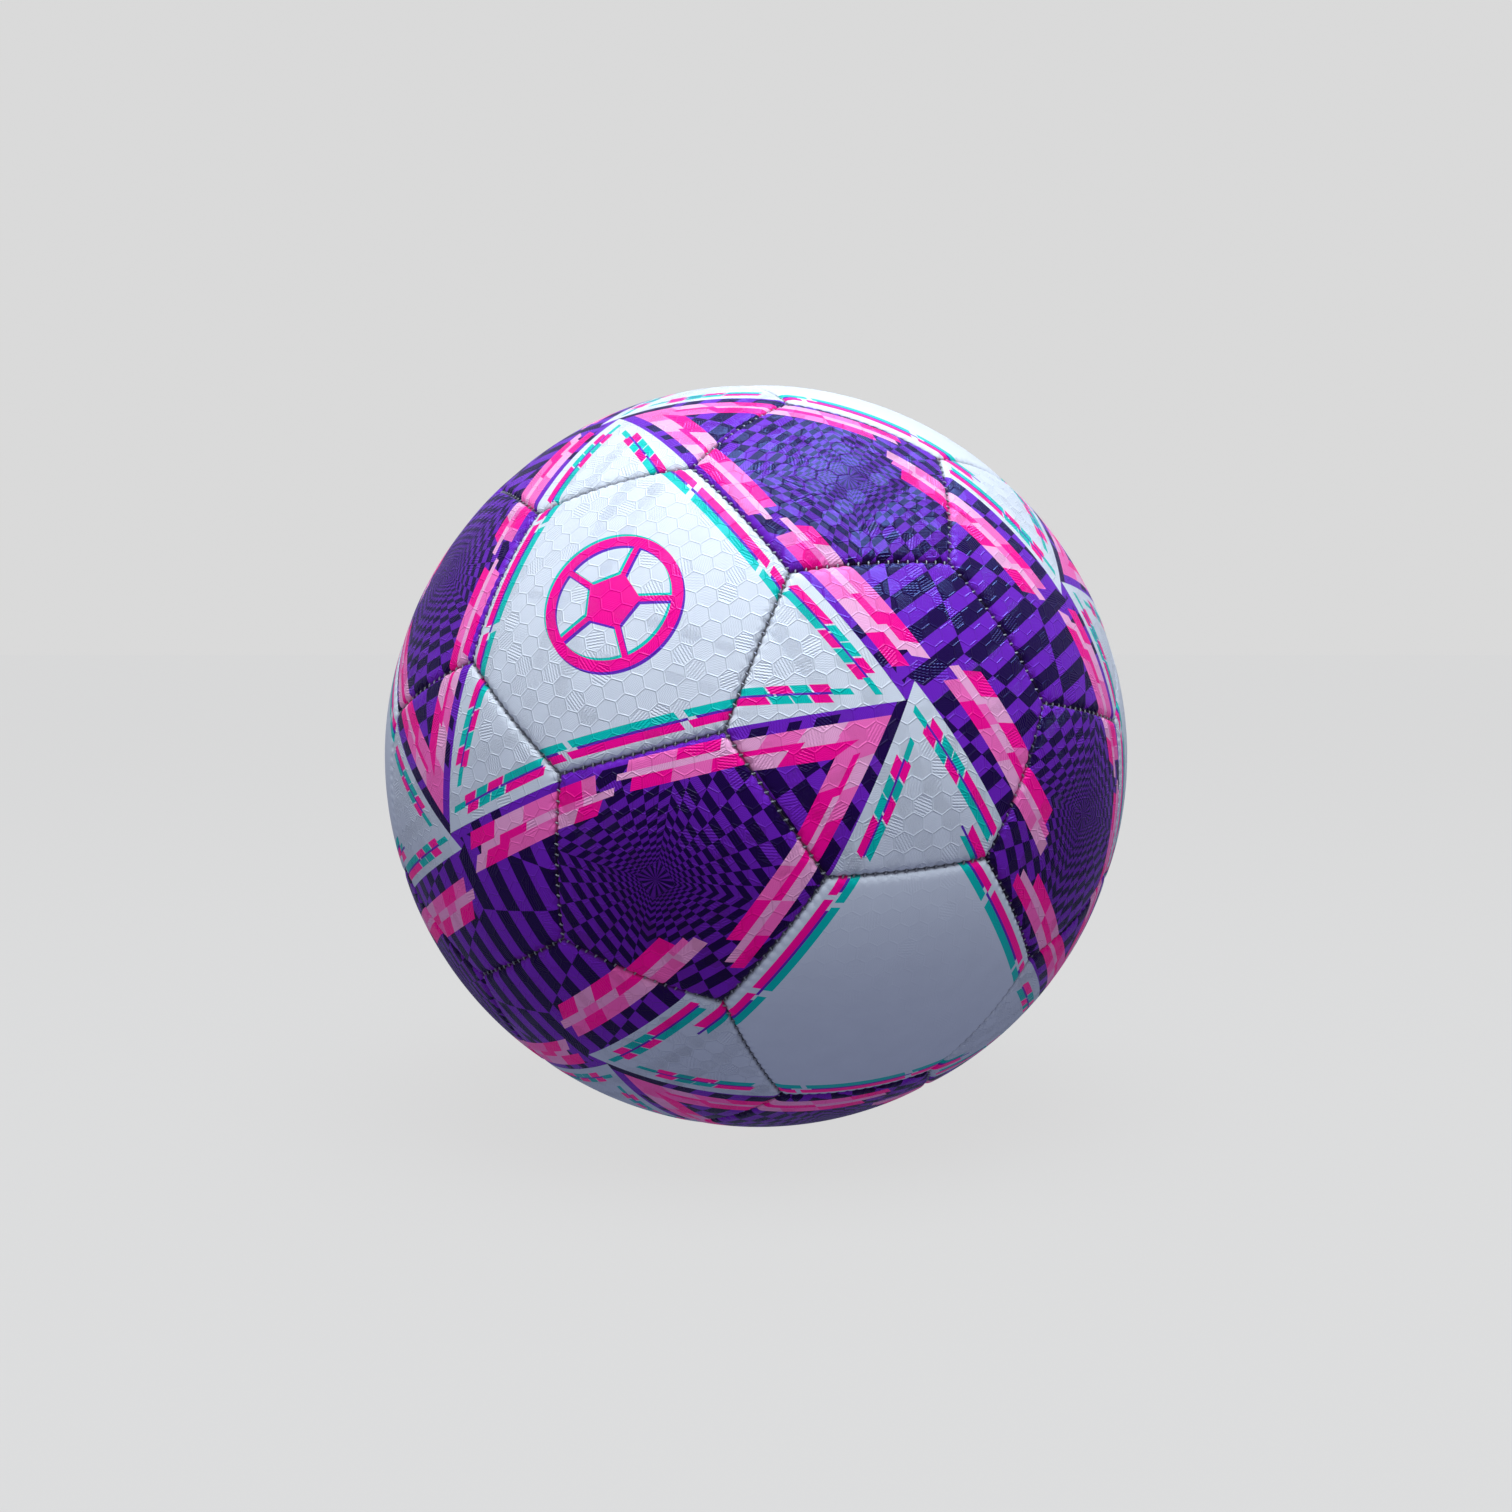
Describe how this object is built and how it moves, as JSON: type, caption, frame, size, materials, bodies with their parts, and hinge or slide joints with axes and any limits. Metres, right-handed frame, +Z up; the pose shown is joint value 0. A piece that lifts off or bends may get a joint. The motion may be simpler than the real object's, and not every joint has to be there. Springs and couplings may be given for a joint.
{
  "type": "soccer ball",
  "caption": "Hand-stitched size 5 soccer ball: pentagon and hexagon covers with turned-in seams over foam, cloth lining, a rubber bladder and a needle valve.",
  "frame": {"origin": "centre of the ball", "axes": "+Z up as the ball lies on the floor, -Z through its contact with the floor, -Y towards the side with the large violet pentagon, +X to the right of it"},
  "size_m": [0.22, 0.22, 0.22],
  "materials": {
    "white_cover": "embossed synthetic leather, satin to glossy, bluish white with teal and magenta print",
    "two_tone_cover": "embossed synthetic leather, satin to glossy, half white and half violet with pink and dark violet print",
    "purple_cover": "embossed synthetic leather, satin to glossy, violet with pink and dark violet print",
    "foam": "matt closed-cell foam",
    "lining": "plain woven cotton and polyester cloth",
    "thread": "waxed polyester cord",
    "bladder_rubber": "matt black butyl rubber",
    "valve_rubber": "smooth pale rubber, satin"
  },
  "bodies": {
    "root": {"pentagon_panel_01": "purple_cover", "pentagon_panel_02": "purple_cover", "pentagon_panel_03": "purple_cover", "pentagon_panel_04": "purple_cover", "pentagon_panel_05": "purple_cover", "pentagon_panel_06": "purple_cover", "pentagon_panel_07": "purple_cover", "pentagon_panel_08": "purple_cover", "pentagon_panel_09": "purple_cover", "pentagon_panel_10": "purple_cover", "pentagon_panel_11": "purple_cover", "pentagon_panel_12": "purple_cover", "two_tone_panel_01": "two_tone_cover", "two_tone_panel_02": "two_tone_cover", "two_tone_panel_03": "two_tone_cover", "two_tone_panel_04": "two_tone_cover", "two_tone_panel_05": "two_tone_cover", "two_tone_panel_06": "two_tone_cover", "two_tone_panel_07": "two_tone_cover", "two_tone_panel_08": "two_tone_cover", "two_tone_panel_09": "two_tone_cover", "two_tone_panel_10": "two_tone_cover", "two_tone_panel_11": "two_tone_cover", "two_tone_panel_12": "two_tone_cover", "white_panel_01": "white_cover", "white_panel_02": "white_cover", "white_panel_03": "white_cover", "white_panel_04": "white_cover", "white_panel_05": "white_cover", "white_panel_06": "white_cover", "white_panel_07": "white_cover", "white_panel_08": "white_cover", "pentagon_foam": "foam", "hexagon_foam": "foam", "pentagon_lining": "lining", "hexagon_lining": "lining", "pentagon_thread": "thread", "hexagon_thread": "thread", "bladder": "bladder_rubber", "valve_boot": "valve_rubber", "valve_core": "valve_rubber", "valve_cloth_ring": "lining", "balance_patch": "bladder_rubber"}
  },
  "joints": []
}
